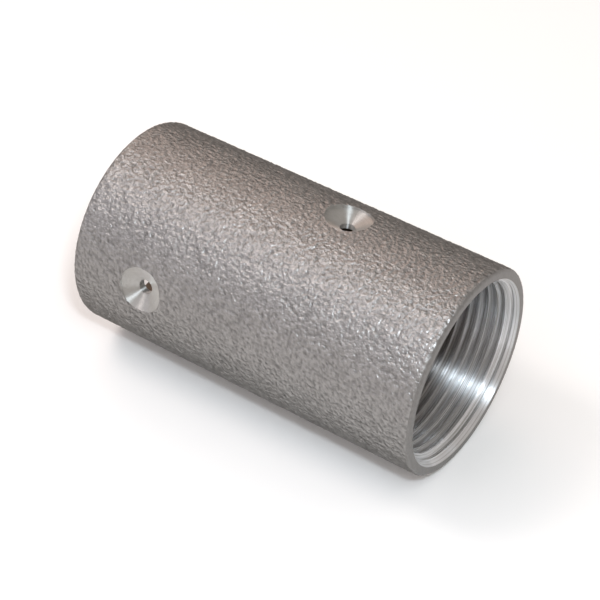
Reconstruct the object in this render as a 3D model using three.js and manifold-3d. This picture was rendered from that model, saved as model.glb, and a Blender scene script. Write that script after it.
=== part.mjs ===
// Nozzle holder: a short aluminium sleeve that joins a blasting nozzle to its hose.
// Units are millimetres. The bore lies along X, with the threaded mouth at +X and the hose end
// at -X, and the sleeve lies on its side with +Z up. The origin is the middle of the bore.
//
// The sleeve is one casting. Turning and drilling give it, from the mouth inwards, a lead-in
// chamfer, a right-hand pipe thread, a plain seat for the washer, a lip that the washer and the
// hose both stop against, and a plain hose socket with countersunk screw holes through its wall.
// The rubber washer is a loose piece: it sits on the lip and comes out through the mouth.

import * as THREE from 'three';
import { mergeVertices } from 'three/addons/utils/BufferGeometryUtils.js';
import Module from 'manifold-3d';

const wasm = await Module();
wasm.setup();

// Driving dimensions.
const outerDiameter = 47.4;
const length = 86.5;
const edgeRadius = 1; // on the outer edge at each end

const mouthDiameter = 42.9;
const chamferAngle = 30; // degrees from the bore's axis
const threadPitch = 25.4 / 11.5;
const threadMajorDiameter = 42.1;
const threadMinorDiameter = 39.3;
const threadDepth = 18.4; // from the mouth's face to the thread's last full turn
const threadStartAngle = 221.2; // degrees, where the depth below holds
const threadStartDepth = 1.06; // from the mouth's face to the middle of a crest
const runOutTurns = 0.5;

const lipDepth = 25.5; // from the mouth's face to the lip
const lipThickness = 3.5;
const lipDiameter = 32;
const hoseDiameter = 39.6;
const hoseLeadIn = 0.8;

const washerDiameter = 38.7;
const washerThickness = 6;
const fitGap = 0.3; // between pieces that touch on the real one

// Angles are counted about +X, from +Y towards +Z. The shoulder is how far the drill went in at
// its full diameter, below the sleeve's top line.
const screwRows = [
  { fromHoseEnd: 18.3, angle: 167.3, shoulder: 0.55 },
  { fromHoseEnd: 53.0, angle: 77.3, shoulder: 1.1 },
];
const pilotDiameter = 3.4;
const countersinkDiameter = 10.6;
const countersinkAngle = 130; // degrees, the whole point

const turnSegments = 48; // flats round the sleeve, and thread steps in one turn
const edgeSegments = 3;
const drillSegments = 24;
const overshoot = 2; // how far a cutting tool runs past a face

const toRadians = THREE.MathUtils.degToRad;
const mouthX = length / 2;
const lipX = mouthX - lipDepth;
const hoseStopX = lipX - lipThickness;

// A solid turned about X. Each profile point is [radius, x].
function turned(profile, segments = turnSegments) {
  const points = profile.map(([radius, x]) => new THREE.Vector2(radius, x));
  return new THREE.LatheGeometry(points, segments).rotateZ(-Math.PI / 2);
}

// A rounded outer edge at one end, as profile points from one arc angle to the other.
function edgeProfile(centreX, fromDegrees, toDegrees) {
  return Array.from({ length: edgeSegments + 1 }, (_, i) => {
    const angle = toRadians(fromDegrees + (toDegrees - fromDegrees) * i / edgeSegments);
    const radius = outerDiameter / 2 - edgeRadius + edgeRadius * Math.sin(angle);
    return [radius, centreX + edgeRadius * Math.cos(angle)];
  });
}

function toManifold(geometry) {
  const plain = geometry.clone();
  plain.deleteAttribute('normal');
  plain.deleteAttribute('uv');
  const merged = mergeVertices(plain, 1e-4);
  const vertProperties = new Float32Array(merged.attributes.position.array);
  const triVerts = new Uint32Array(merged.index.array);
  return new wasm.Manifold(new wasm.Mesh({ numProp: 3, vertProperties, triVerts }));
}

function toGeometry(solid) {
  const { vertProperties, triVerts } = solid.getMesh();
  const geometry = new THREE.BufferGeometry();
  geometry.setAttribute('position', new THREE.BufferAttribute(vertProperties, 3));
  geometry.setIndex(new THREE.BufferAttribute(triVerts, 1));
  geometry.computeVertexNormals();
  return geometry;
}

// The path of the thread's groove, from outside the mouth inwards. Its normals point out from
// the bore's axis and its binormals along the axis, so the groove's section never twists.
class ThreadPath extends THREE.Curve {
  constructor(turns, startAngle, startX) {
    super();
    this.turns = turns;
    this.startAngle = startAngle;
    this.startX = startX;
  }

  angleAt(t) {
    return this.startAngle - t * this.turns * 2 * Math.PI;
  }

  // The groove leaves the wall over the last half turn, as a tap or a cutting tool leaves it.
  radiusAt(t) {
    const intoRunOut = Math.max(0, t * this.turns - (this.turns - runOutTurns)) / runOutTurns;
    const grooveDepth = (threadMajorDiameter - threadMinorDiameter) / 2;
    return threadMajorDiameter / 2 - 1.3 * grooveDepth * intoRunOut;
  }

  getPoint(t, target = new THREE.Vector3()) {
    const angle = this.angleAt(t);
    const radius = this.radiusAt(t);
    const x = this.startX - t * this.turns * threadPitch;
    return target.set(x, radius * Math.cos(angle), radius * Math.sin(angle));
  }

  // Steps are equal in angle, so that each one ends on an edge between two flats of the bore.
  getPointAt(t, target) {
    return this.getPoint(t, target);
  }

  computeFrenetFrames(segments) {
    const tangents = [];
    const normals = [];
    const binormals = [];
    for (let i = 0; i <= segments; i++) {
      const angle = this.angleAt(i / segments);
      tangents.push(new THREE.Vector3(0, Math.sin(angle), -Math.cos(angle)));
      normals.push(new THREE.Vector3(0, Math.cos(angle), Math.sin(angle)));
      binormals.push(new THREE.Vector3(1, 0, 0));
    }
    return { tangents, normals, binormals };
  }
}

// The tool that cuts the thread: a 60 degree groove with a narrow flat at its root, and straight
// sides below the crests so that one turn never touches the next.
function threadCutter() {
  const step = 2 * Math.PI / turnSegments;
  const startAngle = Math.round(toRadians(threadStartAngle) / step) * step;
  const crestTurn = (startAngle - toRadians(threadStartAngle)) / (2 * Math.PI);
  const crestX = mouthX - threadStartDepth + crestTurn * threadPitch;
  const startX = crestX + 1.5 * threadPitch;
  const endX = mouthX - threadDepth - runOutTurns * threadPitch;
  const steps = Math.round((startX - endX) / threadPitch * turnSegments);

  const rootHalfWidth = threadPitch / 16;
  const belowCrest = (threadMajorDiameter - threadMinorDiameter) / 2 + 0.1;
  const crestHalfWidth = rootHalfWidth + belowCrest * Math.tan(toRadians(30));
  const innerEnd = belowCrest + 1;
  const section = new THREE.Shape([
    new THREE.Vector2(0, -rootHalfWidth),
    new THREE.Vector2(0, rootHalfWidth),
    new THREE.Vector2(-belowCrest, crestHalfWidth),
    new THREE.Vector2(-innerEnd, crestHalfWidth),
    new THREE.Vector2(-innerEnd, -crestHalfWidth),
    new THREE.Vector2(-belowCrest, -crestHalfWidth),
  ]);
  const extrudePath = new ThreadPath(steps / turnSegments, startAngle, startX);
  return new THREE.ExtrudeGeometry(section, { steps, extrudePath, bevelEnabled: false });
}

// The tool that makes one screw hole: a pilot hole through the wall under a wide drilled seat.
function screwHoleCutter(x, angle, shoulderDepth) {
  const outerRadius = outerDiameter / 2;
  const seatRadius = countersinkDiameter / 2;
  const pilotRadius = pilotDiameter / 2;
  const shoulder = outerRadius - shoulderDepth;
  const coneDepth = (seatRadius - pilotRadius) / Math.tan(toRadians(countersinkAngle / 2));
  const points = [
    [0, hoseDiameter / 2 - overshoot],
    [pilotRadius, hoseDiameter / 2 - overshoot],
    [pilotRadius, shoulder - coneDepth],
    [seatRadius, shoulder],
    [seatRadius, outerRadius + overshoot],
    [0, outerRadius + overshoot],
  ].map(([radius, height]) => new THREE.Vector2(radius, height));
  return new THREE.LatheGeometry(points, drillSegments)
    .rotateX(toRadians(angle))
    .translate(x, 0, 0);
}

function sleeveGeometry() {
  const mouthRadius = mouthDiameter / 2;
  const minorRadius = threadMinorDiameter / 2;
  const hoseRadius = hoseDiameter / 2;
  const chamferDepth = (mouthRadius - minorRadius) / Math.tan(toRadians(chamferAngle));
  const blank = turned([
    ...edgeProfile(-mouthX + edgeRadius, 180, 90),
    ...edgeProfile(mouthX - edgeRadius, 90, 0),
    [mouthRadius, mouthX],
    [minorRadius, mouthX - chamferDepth],
    [minorRadius, lipX],
    [lipDiameter / 2, lipX],
    [lipDiameter / 2, hoseStopX],
    [hoseRadius, hoseStopX],
    [hoseRadius, -mouthX + hoseLeadIn],
    [hoseRadius + hoseLeadIn, -mouthX],
    [outerDiameter / 2 - edgeRadius, -mouthX],
  ]);
  let solid = toManifold(blank).subtract(toManifold(threadCutter()));
  for (const { fromHoseEnd, angle, shoulder } of screwRows) {
    for (const side of [0, 180]) {
      const hole = screwHoleCutter(fromHoseEnd - mouthX, angle + side, shoulder);
      solid = solid.subtract(toManifold(hole));
    }
  }
  return toGeometry(solid);
}

function washerGeometry() {
  const outerRadius = washerDiameter / 2;
  const innerRadius = lipDiameter / 2;
  const rearX = lipX + fitGap;
  const frontX = rearX + washerThickness;
  return turned([
    [outerRadius, rearX],
    [outerRadius, frontX],
    [innerRadius, frontX],
    [innerRadius, rearX],
    [outerRadius, rearX],
  ]);
}

const castAluminium = new THREE.MeshStandardMaterial({
  name: 'cast_aluminium',
  color: '#9c9892',
  roughness: 0.5,
  metalness: 0.9,
});

const mouldedRubber = new THREE.MeshStandardMaterial({
  name: 'moulded_rubber',
  color: '#222120',
  roughness: 0.85,
  metalness: 0,
});

const sleeve = new THREE.Mesh(sleeveGeometry(), castAluminium);
sleeve.name = 'sleeve';

const washer = new THREE.Mesh(washerGeometry(), mouldedRubber);
washer.name = 'nozzle_washer';

const holder = new THREE.Group();
holder.name = 'nozzle_holder';
holder.add(sleeve, washer);

export default holder;
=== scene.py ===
"""A blast hose nozzle holder: a cast aluminium sleeve, turned and drilled, and its rubber washer."""

import math

import bmesh
import bpy
from mathutils import Matrix, Vector, noise


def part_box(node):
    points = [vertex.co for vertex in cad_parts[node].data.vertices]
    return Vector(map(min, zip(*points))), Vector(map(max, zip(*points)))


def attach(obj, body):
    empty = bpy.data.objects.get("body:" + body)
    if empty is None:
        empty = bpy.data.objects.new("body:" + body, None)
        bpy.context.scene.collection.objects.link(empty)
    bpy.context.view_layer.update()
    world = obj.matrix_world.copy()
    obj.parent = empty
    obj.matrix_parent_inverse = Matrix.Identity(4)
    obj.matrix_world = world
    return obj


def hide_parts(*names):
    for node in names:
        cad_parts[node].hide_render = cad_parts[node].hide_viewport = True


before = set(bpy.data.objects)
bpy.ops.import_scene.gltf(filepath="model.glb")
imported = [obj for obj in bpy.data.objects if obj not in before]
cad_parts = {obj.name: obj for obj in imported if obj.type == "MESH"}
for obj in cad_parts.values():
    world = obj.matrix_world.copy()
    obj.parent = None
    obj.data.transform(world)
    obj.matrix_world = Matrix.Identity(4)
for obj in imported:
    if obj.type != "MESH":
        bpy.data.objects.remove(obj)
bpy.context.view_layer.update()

MM = 0.001
TURN = 2 * math.pi

# The sleeve, from the frame: its axis is X, the threaded mouth is at +X.
SLEEVE_LOW, SLEEVE_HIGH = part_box("sleeve")
OUTER_R = SLEEVE_HIGH.z
MOUTH_X = SLEEVE_HIGH.x
HOSE_X = SLEEVE_LOW.x
WASHER_LOW, WASHER_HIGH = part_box("nozzle_washer")

EDGE_R = 1.0 * MM
MOUTH_R = 21.45 * MM
CHAMFER = math.radians(30)
THREAD_PITCH = 25.4 / 11.5 * MM
THREAD_ROOT_R = 21.05 * MM
THREAD_CREST_R = 19.65 * MM
THREAD_DEPTH = 18.4 * MM
THREAD_ANGLE = math.radians(221.2)
THREAD_CREST_DEPTH = 1.06 * MM
RUN_OUT_TURNS = 0.5
THREAD_END_X = MOUTH_X - THREAD_DEPTH - THREAD_PITCH

LIP_X = WASHER_LOW.x - 0.3 * MM
LIP_THICKNESS = 3.5 * MM
LIP_R = 16.0 * MM
HOSE_R = 19.8 * MM
HOSE_LEAD_IN = 0.8 * MM

# Screw holes: how far each row is from the hose end, its angle about +X from +Y towards +Z, and
# how far its drill went in at full diameter.
SCREW_ROWS = (
    (18.3 * MM, math.radians(167.3), 0.55 * MM),
    (53.0 * MM, math.radians(77.3), 1.1 * MM),
)
PILOT_R = 1.7 * MM
SEAT_R = 5.3 * MM
SEAT_HALF_ANGLE = math.radians(65)

# How finely the sleeve is made: flats round it, and the length of one flat of the cast skin.
ROUND_STEPS = 352
SKIN_STEP = 0.44 * MM
DRILL_STEPS = 64

# How high the cast skin's lumps and its slow waves stand, how far the skin is let in below the
# sleeve's top line so that they stay within it, and the lip of metal that a drill pushes up.
LUMP_RISE = 0.2
WAVE_RISE = 0.01
SKIN_SINK = 0.06
BURR_HEIGHT = 0.28 * MM
BURR_WIDTH = 0.3 * MM
BURR_GAP = 0.25 * MM

# Each finish's place in the sleeve's list of materials.
CAST_SKIN, TURNED, DRILLED, FACED, BORED = range(5)


# --- Materials -----------------------------------------------------------------------------------


def srgb(code):
    """A hex colour turned into the linear colour that a shader takes."""
    values = [int(code[i : i + 2], 16) / 255 for i in (1, 3, 5)]
    linear = [v / 12.92 if v <= 0.04045 else ((v + 0.055) / 1.055) ** 2.4 for v in values]
    return (*linear, 1.0)


def add_node(tree, kind, settings=None, **inputs):
    """Adds a node. An input is a value or the socket that feeds it; _ stands for a space."""
    node = tree.nodes.new(kind)
    for name, value in (settings or {}).items():
        setattr(node, name, value)
    for name, value in inputs.items():
        key = int(name[1:]) if name[1:].isdigit() and name[0] == "i" else name.replace("_", " ")
        socket = node.inputs[key]
        if isinstance(value, bpy.types.NodeSocket):
            tree.links.new(value, socket)
        else:
            socket.default_value = value
    return node


def new_material(name):
    material = bpy.data.materials.new(name)
    material.use_nodes = True
    material.node_tree.nodes.clear()
    return material, material.node_tree


def finish_material(tree, shader):
    add_node(tree, "ShaderNodeOutputMaterial", Surface=shader.outputs["BSDF"])


def cast_aluminium_skin():
    """Aluminium as it leaves a sand mould: pewter grey, rough, with a fine grain that glitters where
    the light strikes it, and painted shade that darkens it in its hollows."""
    material, tree = new_material("cast_aluminium_skin")
    place = add_node(tree, "ShaderNodeTexCoord").outputs["Object"]
    stain = add_node(tree, "ShaderNodeTexNoise", Vector=place, Scale=90.0, Detail=3.0)
    speck = add_node(tree, "ShaderNodeTexNoise", Vector=place, Scale=1700.0, Detail=2.0)
    grain = add_node(tree, "ShaderNodeTexNoise", Vector=place, Scale=1300.0, Detail=1.0)
    hollow = add_node(tree, "ShaderNodeAttribute", {"attribute_name": "skin_height"})
    depth = add_node(tree, "ShaderNodeMath", {"operation": "ADD"},
                     i0=hollow.outputs["Fac"], i1=grain.outputs["Fac"])
    tone = add_node(tree, "ShaderNodeMix", {"data_type": "RGBA"},
                    Factor=stain.outputs["Fac"], A=srgb("#989694"), B=srgb("#a19f9d"))
    # Painted shade: the colour is darkened down to 0.62 where the skin sinks and the grain is low.
    painted_hollow_shade = add_node(tree, "ShaderNodeMapRange",
                    Value=depth.outputs["Value"], i1=-0.5, i2=1.0, i3=0.62, i4=1.0)
    shade = add_node(tree, "ShaderNodeMix", {"data_type": "RGBA", "blend_type": "MULTIPLY"},
                     Factor=1.0, A=tone.outputs["Result"], B=painted_hollow_shade.outputs["Result"])
    rough = add_node(tree, "ShaderNodeMapRange",
                     Value=speck.outputs["Fac"], i1=0.3, i2=0.7, i3=0.33, i4=0.5)
    bump = add_node(tree, "ShaderNodeBump", Height=grain.outputs["Fac"],
                    Strength=1.0, Distance=0.42 * MM)
    shader = add_node(tree, "ShaderNodeBsdfPrincipled", Base_Color=shade.outputs["Result"],
                      Metallic=1.0, Roughness=rough.outputs["Result"],
                      Specular_Tint=srgb("#858482"), Normal=bump.outputs["Normal"])
    finish_material(tree, shader)
    return material


def ring_marks(tree, place):
    """The rings that a lathe tool leaves round the X axis, as a noise on distance along and out."""
    parts = add_node(tree, "ShaderNodeSeparateXYZ", Vector=place).outputs
    flat = add_node(tree, "ShaderNodeCombineXYZ", Y=parts["Y"], Z=parts["Z"])
    radius = add_node(tree, "ShaderNodeVectorMath", {"operation": "LENGTH"},
                      i0=flat.outputs["Vector"])
    across = add_node(tree, "ShaderNodeCombineXYZ", X=parts["X"], Y=radius.outputs["Value"])
    # The tool's feed is about 0.1 mm, drawn near 0.35 mm because finer rings don't show.
    return add_node(tree, "ShaderNodeTexNoise", Vector=across.outputs["Vector"], Scale=2900.0,
                    Detail=2.0, Roughness=0.6)


def turned_aluminium():
    """Aluminium cut on a lathe: bright and nearly white, with fine rings left by the tool, so that
    light draws out into a streak across them. Further into the bore it is painted a dark brown, a
    painted shade for the light that falls off inside it."""
    material, tree = new_material("turned_aluminium")
    place = add_node(tree, "ShaderNodeTexCoord").outputs["Object"]
    rings = ring_marks(tree, place)
    smear = add_node(tree, "ShaderNodeTexNoise", Vector=place, Scale=320.0, Detail=3.0)
    worn = add_node(tree, "ShaderNodeMapRange", Value=rings.outputs["Fac"],
                    i1=0.35, i2=0.6, i3=0.0, i4=1.0)
    clean = add_node(tree, "ShaderNodeMix", {"data_type": "RGBA"},
                     Factor=worn.outputs["Result"], A=srgb("#adaca9"), B=srgb("#e9eaec"))
    parts = add_node(tree, "ShaderNodeSeparateXYZ", Vector=place).outputs
    # Painted shade: from 9 to 17 mm inside the mouth the colour turns towards a dark brown.
    painted_bore_shade = add_node(tree, "ShaderNodeMapRange", Value=parts["X"],
                    i1=MOUTH_X - 9 * MM, i2=MOUTH_X - 17 * MM, i3=0.0, i4=0.85)
    tone = add_node(tree, "ShaderNodeMix", {"data_type": "RGBA"},
                    Factor=painted_bore_shade.outputs["Result"], A=clean.outputs["Result"], B=srgb("#5b4f45"))
    rough = add_node(tree, "ShaderNodeMapRange",
                     Value=smear.outputs["Fac"], i1=0.3, i2=0.7, i3=0.36, i4=0.42)
    bump = add_node(tree, "ShaderNodeBump", Height=rings.outputs["Fac"],
                    Strength=1.0, Distance=0.07 * MM)
    # The rings run round the bore, so light spreads a quarter turn from them.
    tangent = add_node(tree, "ShaderNodeTangent", {"direction_type": "RADIAL", "axis": "X"})
    shader = add_node(tree, "ShaderNodeBsdfPrincipled", Base_Color=tone.outputs["Result"],
                      Metallic=1.0, Roughness=rough.outputs["Result"], Anisotropic=0.97,
                      Anisotropic_Rotation=0.25, Tangent=tangent.outputs["Tangent"],
                      Normal=bump.outputs["Normal"])
    finish_material(tree, shader)
    return material


def bored_aluminium():
    """The hose socket and the lip: bored once, and painted dark brown as painted shade."""
    material, tree = new_material("bored_aluminium")
    place = add_node(tree, "ShaderNodeTexCoord").outputs["Object"]
    rings = ring_marks(tree, place)
    bore_mottle = add_node(tree, "ShaderNodeTexNoise", Vector=place, Scale=240.0, Detail=4.0)
    # Painted shade: both browns are dark to stand in for the shade inside the sleeve; the noise only
    # mottles them.
    tone = add_node(tree, "ShaderNodeMix", {"data_type": "RGBA"},
                    Factor=bore_mottle.outputs["Fac"], A=srgb("#473d35"), B=srgb("#6a5f55"))
    rough = add_node(tree, "ShaderNodeMapRange",
                     Value=bore_mottle.outputs["Fac"], i1=0.3, i2=0.7, i3=0.45, i4=0.65)
    bump = add_node(tree, "ShaderNodeBump", Height=rings.outputs["Fac"],
                    Strength=0.4, Distance=0.03 * MM)
    shader = add_node(tree, "ShaderNodeBsdfPrincipled", Base_Color=tone.outputs["Result"],
                      Metallic=1.0, Roughness=rough.outputs["Result"],
                      Normal=bump.outputs["Normal"])
    finish_material(tree, shader)
    return material


def faced_aluminium():
    """The end faces and their rounded edges: cut on the lathe, with a darker grey as painted shade.
    """
    material, tree = new_material("faced_aluminium")
    place = add_node(tree, "ShaderNodeTexCoord").outputs["Object"]
    rings = ring_marks(tree, place)
    scuff = add_node(tree, "ShaderNodeTexNoise", Vector=place, Scale=1300.0, Detail=3.0)
    # Painted shade: these greys stay darker than the turned metal's, standing in for a dim
    # reflection.
    tone = add_node(tree, "ShaderNodeMix", {"data_type": "RGBA"},
                    Factor=scuff.outputs["Fac"], A=srgb("#6d6b69"), B=srgb("#9b9997"))
    rough = add_node(tree, "ShaderNodeMapRange",
                     Value=scuff.outputs["Fac"], i1=0.3, i2=0.7, i3=0.48, i4=0.62)
    bump = add_node(tree, "ShaderNodeBump", Height=rings.outputs["Fac"],
                    Strength=0.3, Distance=0.03 * MM)
    shader = add_node(tree, "ShaderNodeBsdfPrincipled", Base_Color=tone.outputs["Result"],
                      Metallic=1.0, Roughness=rough.outputs["Result"],
                      Normal=bump.outputs["Normal"])
    finish_material(tree, shader)
    return material


def drilled_aluminium():
    """The seat that a drill leaves: bright, with torn rings round the hole's own centre, so that
    light opens out into a fan across them."""
    material, tree = new_material("drilled_aluminium")
    place = add_node(tree, "ShaderNodeTexCoord").outputs["Object"]
    reach = add_node(tree, "ShaderNodeAttribute", {"attribute_name": "from_hole_axis"})
    wobble = add_node(tree, "ShaderNodeTexNoise", Vector=place, Scale=150.0)
    across = add_node(tree, "ShaderNodeCombineXYZ", X=reach.outputs["Fac"],
                      Y=wobble.outputs["Fac"])
    rings = add_node(tree, "ShaderNodeTexNoise", Vector=across.outputs["Vector"], Scale=3.0,
                     Detail=3.0, Roughness=0.7)
    torn = add_node(tree, "ShaderNodeTexNoise", Vector=place, Scale=800.0, Detail=3.0)
    tone = add_node(tree, "ShaderNodeMix", {"data_type": "RGBA"},
                    Factor=torn.outputs["Fac"], A=srgb("#a8a6a2"), B=srgb("#cdccc9"))
    rough = add_node(tree, "ShaderNodeMapRange",
                     Value=torn.outputs["Fac"], i1=0.3, i2=0.7, i3=0.44, i4=0.54)
    bump = add_node(tree, "ShaderNodeBump", Height=rings.outputs["Fac"],
                    Strength=1.0, Distance=0.08 * MM)
    along = add_node(tree, "ShaderNodeAttribute", {"attribute_name": "round_hole"})
    tangent = add_node(tree, "ShaderNodeVectorTransform",
                       {"vector_type": "VECTOR", "convert_from": "OBJECT", "convert_to": "WORLD"},
                       Vector=along.outputs["Vector"])
    shader = add_node(tree, "ShaderNodeBsdfPrincipled", Base_Color=tone.outputs["Result"],
                      Metallic=1.0, Roughness=rough.outputs["Result"], Anisotropic=0.95,
                      Anisotropic_Rotation=0.25, Tangent=tangent.outputs["Vector"],
                      Normal=bump.outputs["Normal"])
    finish_material(tree, shader)
    return material


def moulded_rubber():
    """Black nitrile rubber from a steel mould: matt, faintly mottled, dusty on its high spots."""
    material, tree = new_material("moulded_rubber")
    place = add_node(tree, "ShaderNodeTexCoord").outputs["Object"]
    mottle = add_node(tree, "ShaderNodeTexNoise", Vector=place, Scale=260.0, Detail=4.0)
    grain = add_node(tree, "ShaderNodeTexNoise", Vector=place, Scale=2600.0, Detail=2.0)
    tone = add_node(tree, "ShaderNodeMix", {"data_type": "RGBA"},
                    Factor=mottle.outputs["Fac"], A=srgb("#1b1a1a"), B=srgb("#34322f"))
    rough = add_node(tree, "ShaderNodeMapRange",
                     Value=mottle.outputs["Fac"], i1=0.3, i2=0.7, i3=0.55, i4=0.75)
    bump = add_node(tree, "ShaderNodeBump", Height=grain.outputs["Fac"],
                    Strength=0.4, Distance=0.05 * MM)
    shader = add_node(tree, "ShaderNodeBsdfPrincipled", Base_Color=tone.outputs["Result"],
                      Roughness=rough.outputs["Result"], IOR=1.52,
                      Normal=bump.outputs["Normal"])
    finish_material(tree, shader)
    return material


def pale_paper():
    """Matt white paper on the bench: it only has to be pale and even."""
    material, tree = new_material("pale_paper")
    shader = add_node(tree, "ShaderNodeBsdfPrincipled", Base_Color=srgb("#f4f3f1"),
                      Roughness=0.9)
    finish_material(tree, shader)
    return material


# --- Shaping -------------------------------------------------------------------------------------


def from_axis_at(radius, angle):
    """The way from the X axis to a point at an angle about +X, counted from +Y towards +Z."""
    return Vector((0.0, radius * math.cos(angle), radius * math.sin(angle)))


def arc(centre_x, centre_r, radius, start, end, steps):
    """Profile points (x, radius) on an arc; angles in degrees from +X towards larger radius."""
    angles = [math.radians(start + (end - start) * i / steps) for i in range(steps + 1)]
    return [(centre_x + radius * math.cos(a), centre_r + radius * math.sin(a)) for a in angles]


def closed_outline(bm, points):
    """A closed loop of edges through profile points, in the plane of X and Z."""
    verts = [bm.verts.new((x, 0.0, r)) for x, r in points]
    return [bm.edges.new((a, b)) for a, b in zip(verts, verts[1:] + verts[:1])]


def turn(bm, steps):
    """Spins all that is in bm a full turn about X."""
    bmesh.ops.spin(bm, geom=bm.verts[:] + bm.edges[:], cent=(0, 0, 0), axis=(1, 0, 0),
                   angle=TURN, steps=steps, use_merge=True)


def tidy(bm):
    bmesh.ops.remove_doubles(bm, verts=bm.verts[:], dist=0.002 * MM)
    bmesh.ops.recalc_face_normals(bm, faces=bm.faces[:])


def new_piece(name, bm, materials):
    mesh = bpy.data.meshes.new(name)
    bm.to_mesh(mesh)
    bm.free()
    for material in materials:
        mesh.materials.append(material)
    piece = bpy.data.objects.new(name, mesh)
    bpy.context.scene.collection.objects.link(piece)
    return piece


def casting_blank():
    """The sleeve with its cast skin and its plain turned bore, before thread and screw holes."""
    bm = bmesh.new()
    chamfer_x = MOUTH_X - (MOUTH_R - THREAD_CREST_R) / math.tan(CHAMFER)
    hose_stop_x = LIP_X - LIP_THICKNESS
    outline = [
        *arc(HOSE_X + EDGE_R, OUTER_R - EDGE_R, EDGE_R, 180, 90, 5),
        *arc(MOUTH_X - EDGE_R, OUTER_R - EDGE_R, EDGE_R, 90, 0, 5),
        (MOUTH_X, MOUTH_R),
        (chamfer_x, THREAD_CREST_R),
        (THREAD_END_X, THREAD_CREST_R),
        (LIP_X, THREAD_CREST_R),
        (LIP_X, LIP_R),
        (hose_stop_x, LIP_R),
        (hose_stop_x, HOSE_R),
        (HOSE_X + HOSE_LEAD_IN, HOSE_R),
        (HOSE_X, HOSE_R + HOSE_LEAD_IN),
    ]
    edges = closed_outline(bm, outline)
    skin_line = max(edges, key=lambda e: e.calc_length() * (e.verts[0].co.z > OUTER_R - EDGE_R))
    cuts = round(skin_line.calc_length() / SKIN_STEP) - 1
    bmesh.ops.subdivide_edges(bm, edges=[skin_line], cuts=cuts)
    turn(bm, ROUND_STEPS)
    tidy(bm)
    roughen_skin(bm)
    return bm


def roughen_skin(bm):
    """Gives the cast skin its lumps, a slight waviness and the lip of metal beside each hole, and
    gives every face its finish."""
    height = bm.verts.layers.float.new("skin_height")
    for vert in bm.verts:
        out = Vector((0, vert.co.y, vert.co.z))
        share = (out.length - (OUTER_R - EDGE_R)) / EDGE_R
        if share <= 0.02:
            continue
        share = min(1.0, share)
        at = vert.co / MM
        lumps = noise.noise(at * 1.6) + 0.2 * noise.noise(at * 2.2 + Vector((7, 3, 5)))
        waves = noise.noise(at * 0.12)
        vert[height] = lumps * 2
        rise = (LUMP_RISE * lumps + WAVE_RISE * waves - SKIN_SINK) * share * MM
        vert.co += out.normalized() * (rise + burr_rise(vert.co))
    for face in bm.faces:
        face.material_index = finish_of(face)


def finish_of(face):
    """Which finish a face of the plain sleeve has, by where it lies."""
    slack = 0.1 * MM
    radii = [math.hypot(v.co.y, v.co.z) for v in face.verts]
    off_end = MOUTH_X - max(abs(v.co.x) for v in face.verts)
    if min(radii) > OUTER_R - EDGE_R - slack:
        return CAST_SKIN if off_end > 0.2 * EDGE_R else FACED
    if max(radii) > MOUTH_R + slack:
        return FACED
    return TURNED if face.calc_center_median().x > THREAD_END_X else BORED


def screw_axes():
    """Each screw hole's place along X, its outward direction and its seat's depth."""
    for from_hose_end, angle, seat_depth in SCREW_ROWS:
        for side in (0, math.pi):
            yield HOSE_X + from_hose_end, from_axis_at(1.0, angle + side), seat_depth


def burr_rise(point):
    """The drill pushes up a thin lip of metal on one side of each seat."""
    for x, out, _ in screw_axes():
        from_axis = point - Vector((x, 0, 0))
        if from_axis.dot(out) <= 0:
            continue
        sideways = from_axis - out * from_axis.dot(out)
        gap = (sideways.length - SEAT_R - BURR_GAP) / BURR_WIDTH
        if abs(gap) > 4:
            continue
        round_axis = Vector((0, -out.z, out.y))
        towards = sideways.normalized()
        side = max(0.0, -0.8 * towards.x - 0.6 * towards.dot(round_axis))
        return BURR_HEIGHT * side ** 3 * math.exp(-gap * gap)
    return 0.0


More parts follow.
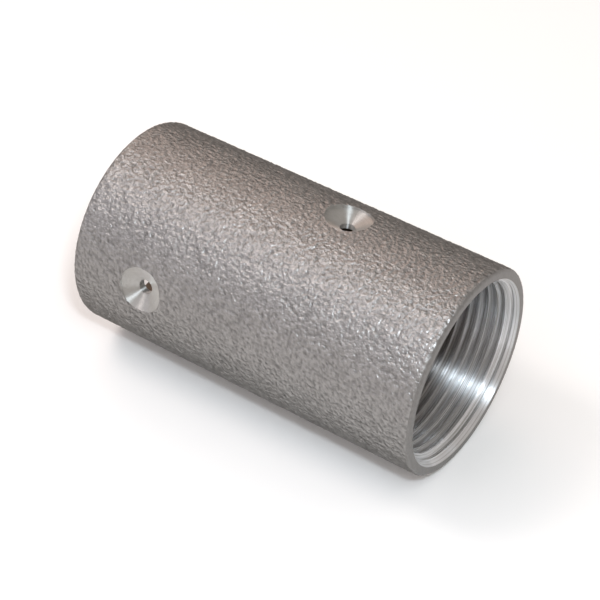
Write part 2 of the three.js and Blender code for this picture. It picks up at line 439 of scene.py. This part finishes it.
def thread_cutter():
    """A 60 degree groove from outside the mouth inwards, running out at its inner end."""
    step = TURN / ROUND_STEPS
    groove_x = MOUTH_X - THREAD_CREST_DEPTH + THREAD_PITCH / 2
    end_x = MOUTH_X - THREAD_DEPTH - RUN_OUT_TURNS * THREAD_PITCH
    end_angle = round((THREAD_ANGLE + (end_x - groove_x) / THREAD_PITCH * TURN) / step) * step
    end_x = groove_x + (end_angle - THREAD_ANGLE) / TURN * THREAD_PITCH
    turns = math.ceil((MOUTH_X - end_x) / THREAD_PITCH) + 1
    start_x = end_x + turns * THREAD_PITCH

    root_half = THREAD_PITCH / 16
    groove = THREAD_ROOT_R - THREAD_CREST_R
    below = groove + 0.1 * MM
    crest_half = root_half + below * math.tan(math.radians(30))
    inner = below + 1.0 * MM
    bm = bmesh.new()
    closed_outline(bm, [
        (start_x - root_half, THREAD_ROOT_R),
        (start_x + root_half, THREAD_ROOT_R),
        (start_x + crest_half, THREAD_ROOT_R - below),
        (start_x + crest_half, THREAD_ROOT_R - inner),
        (start_x - crest_half, THREAD_ROOT_R - inner),
        (start_x - crest_half, THREAD_ROOT_R - below),
    ])
    # The outline stands straight above the axis, a quarter turn on from where angles start.
    to_start = Matrix.Rotation(end_angle - TURN / 4, 3, "X")
    bmesh.ops.rotate(bm, verts=bm.verts[:], cent=(0, 0, 0), matrix=to_start)
    bmesh.ops.spin(bm, geom=bm.verts[:] + bm.edges[:], cent=(0, 0, 0), axis=(1, 0, 0),
                   dvec=(-THREAD_PITCH / ROUND_STEPS, 0, 0), angle=-TURN, steps=ROUND_STEPS)
    one_turn = bm.verts[:] + bm.edges[:] + bm.faces[:]
    for number in range(1, turns):
        copied = bmesh.ops.duplicate(bm, geom=one_turn)["geom"]
        verts = [v for v in copied if isinstance(v, bmesh.types.BMVert)]
        bmesh.ops.translate(bm, verts=verts, vec=(-number * THREAD_PITCH, 0, 0))
    bmesh.ops.remove_doubles(bm, verts=bm.verts[:], dist=0.002 * MM)
    bmesh.ops.holes_fill(bm, edges=bm.edges[:], sides=0)

    for vert in bm.verts:
        angle = math.atan2(vert.co.z, vert.co.y)
        turned = (end_angle - angle) / TURN % 1
        turned += round((start_x - vert.co.x) / THREAD_PITCH - turned)
        lift = max(0.0, turned - turns + RUN_OUT_TURNS) / RUN_OUT_TURNS
        vert.co -= from_axis_at(1.3 * groove * lift, angle)
    tidy(bm)
    for face in bm.faces:
        face.material_index = TURNED
    return bm


def drill_cutter(x, out, seat_depth):
    """A drill with its wide point, and the pilot drill that goes on through the wall."""
    bm = bmesh.new()
    cone = (SEAT_R - PILOT_R) / math.tan(SEAT_HALF_ANGLE)
    shoulder = OUTER_R - seat_depth
    profile = [
        (HOSE_R - 2 * MM, 0.0),
        (HOSE_R - 2 * MM, PILOT_R),
        (shoulder - cone, PILOT_R),
        (shoulder, SEAT_R),
        (OUTER_R + 2 * MM, SEAT_R),
        (OUTER_R + 2 * MM, 0.0),
    ]
    verts = [bm.verts.new((h, 0.0, r)) for h, r in profile]
    for a, b in zip(verts, verts[1:]):
        bm.edges.new((a, b))
    turn(bm, DRILL_STEPS)
    tidy(bm)
    aim = Vector((1, 0, 0)).rotation_difference(out).to_matrix().to_4x4()
    bmesh.ops.transform(bm, matrix=Matrix.Translation((x, 0, 0)) @ aim, verts=bm.verts[:])
    for face in bm.faces:
        face.material_index = DRILLED
    return bm


def cut(piece, cutters):
    """Takes each cutter away from the piece, and leaves the piece a plain mesh."""
    for cutter in cutters:
        boolean = piece.modifiers.new(cutter.name, "BOOLEAN")
        boolean.operation = "DIFFERENCE"
        boolean.solver = "MANIFOLD"
        boolean.object = cutter
    graph = bpy.context.evaluated_depsgraph_get()
    mesh = bpy.data.meshes.new_from_object(piece.evaluated_get(graph))
    piece.modifiers.clear()
    old = piece.data
    piece.data = mesh
    bpy.data.meshes.remove(old)
    mesh.name = piece.name
    for cutter in cutters:
        bpy.data.objects.remove(cutter)


def mark_holes(bm):
    """Stores, on each drilled point, its distance in millimetres from its own hole's axis, and the
    direction in which the drill turned there."""
    reach = bm.verts.layers.float.new("from_hole_axis")
    round_hole = bm.verts.layers.float_vector.new("round_hole")
    axes = list(screw_axes())
    drilled = {v for f in bm.faces if f.material_index == DRILLED for v in f.verts}
    for vert in drilled:
        gaps = []
        for x, out, _ in axes:
            from_axis = vert.co - Vector((x, 0, 0))
            along = from_axis.dot(out)
            if along > 0:
                sideways = from_axis - out * along
                gaps.append((sideways.length / MM, out.cross(sideways).normalized()))
        vert[reach], vert[round_hole] = min(gaps, key=lambda gap: gap[0])


def crisp_edges(bm):
    """Smooth faces with sharp edges between them; the cast skin stays soft all over."""
    for edge in bm.edges:
        if len(edge.link_faces) != 2:
            continue
        kinds = {f.material_index for f in edge.link_faces}
        steep = edge.calc_face_angle(0.0) > math.radians(28)
        edge.smooth = not (steep and kinds != {CAST_SKIN})
    for face in bm.faces:
        face.smooth = True


def make_sleeve():
    finishes = [cast_aluminium_skin(), turned_aluminium(), drilled_aluminium(), faced_aluminium(),
                bored_aluminium()]
    sleeve = new_piece("holder_sleeve", casting_blank(), finishes)
    cutters = [new_piece("thread_cutter", thread_cutter(), finishes)]
    for number, axis in enumerate(screw_axes()):
        cutters.append(new_piece(f"drill_{number}", drill_cutter(*axis), finishes))
    cut(sleeve, cutters)
    bm = bmesh.new()
    bm.from_mesh(sleeve.data)
    bmesh.ops.dissolve_degenerate(bm, dist=0.001 * MM, edges=bm.edges[:])
    mark_holes(bm)
    crisp_edges(bm)
    bm.to_mesh(sleeve.data)
    bm.free()
    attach(sleeve, "holder")
    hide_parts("sleeve")


def make_washer():
    """A thick rubber ring with moulded round edges and a thin parting line round its outside."""
    inner = LIP_R
    outer = WASHER_HIGH.z
    rear, front = WASHER_LOW.x, WASHER_HIGH.x
    middle = (rear + front) / 2
    edge = 0.5 * MM
    outline = [
        *arc(front - edge, outer - edge, edge, 90, 0, 4),
        *arc(front - edge, inner + edge, edge, 0, -90, 4),
        *arc(rear + edge, inner + edge, edge, -90, -180, 4),
        *arc(rear + edge, outer - edge, edge, 180, 90, 4),
        (middle - 0.15 * MM, outer - 0.08 * MM),
        (middle, outer),
        (middle + 0.15 * MM, outer - 0.08 * MM),
    ]
    bm = bmesh.new()
    closed_outline(bm, outline)
    turn(bm, 160)
    tidy(bm)
    for face in bm.faces:
        face.smooth = True
    washer = new_piece("rubber_washer", bm, [moulded_rubber()])
    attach(washer, "washer")
    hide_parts("nozzle_washer")


# --- Studio --------------------------------------------------------------------------------------


def direction(azimuth, elevation):
    """From the holder outwards: azimuth 0 is towards -Y and 90 towards +X, in degrees."""
    a, e = math.radians(azimuth), math.radians(elevation)
    return Vector((math.sin(a) * math.cos(e), -math.cos(a) * math.cos(e), math.sin(e)))


def add_camera():
    """A long lens, a little over 40 degrees above the bench and 35 degrees round from the side."""
    data = bpy.data.cameras.new("camera")
    data.sensor_width = 36
    data.lens = 120
    data.clip_start = 0.02
    data.clip_end = 10
    camera = bpy.data.objects.new("camera", data)
    bpy.context.scene.collection.objects.link(camera)
    away = direction(34.6, 43.3)
    turned = (-away).to_track_quat("-Z", "Y")
    camera.rotation_mode = "QUATERNION"
    camera.rotation_quaternion = turned
    # The holder sits a little left of the picture's middle, and a little above it.
    aim = turned @ Vector((0.66 * MM, -1.49 * MM, 0))
    camera.location = aim + away * 434.6 * MM
    bpy.context.scene.camera = camera


def add_soft_light(name, azimuth, elevation, distance, size, power, tint):
    """A square light that faces the holder: distance and side in metres, power in watts."""
    data = bpy.data.lights.new(name, "AREA")
    data.shape = "SQUARE"
    data.size = size
    data.energy = power
    data.color = srgb(tint)[:3]
    light = bpy.data.objects.new(name, data)
    bpy.context.scene.collection.objects.link(light)
    away = direction(azimuth, elevation)
    light.location = away * distance
    light.rotation_mode = "QUATERNION"
    light.rotation_quaternion = (-away).to_track_quat("-Z", "Y")


def add_bench():
    bm = bmesh.new()
    bmesh.ops.create_grid(bm, x_segments=1, y_segments=1, size=1.5)
    bmesh.ops.translate(bm, verts=bm.verts[:], vec=(0, 0, SLEEVE_LOW.z))
    bench = new_piece("bench", bm, [pale_paper()])


def add_room():
    world = bpy.data.worlds.new("room")
    bpy.context.scene.world = world
    world.use_nodes = True
    tree = world.node_tree
    tree.nodes.clear()
    back = add_node(tree, "ShaderNodeBackground", Color=srgb("#fff8f3"), Strength=0.72)
    add_node(tree, "ShaderNodeOutputWorld", Surface=back.outputs["Background"])


def light_studio():
    """Two flash heads above the mouth give the streak in the bore and the fans in the seats; the
    other lights are soft and fill in the sides."""
    add_soft_light("flash_low", 41, 50, 0.46, 0.04, 0.75, "#e8f5ff")
    add_soft_light("flash_high", 44, 58, 0.46, 0.09, 0.24, "#e8f5ff")
    add_soft_light("front_left_softbox", -45, 36, 1.1, 1.3, 2.8, "#e8eaff")
    add_soft_light("upper_left_lamp", -70, 60, 0.5, 0.15, 0.53, "#fff6f2")
    add_soft_light("warm_left_wall", -130, 35, 1.1, 0.7, 1.6, "#ffd6c4")
    bpy.context.scene.view_settings.view_transform = "Standard"


make_sleeve()
make_washer()
add_bench()
add_room()
light_studio()
add_camera()
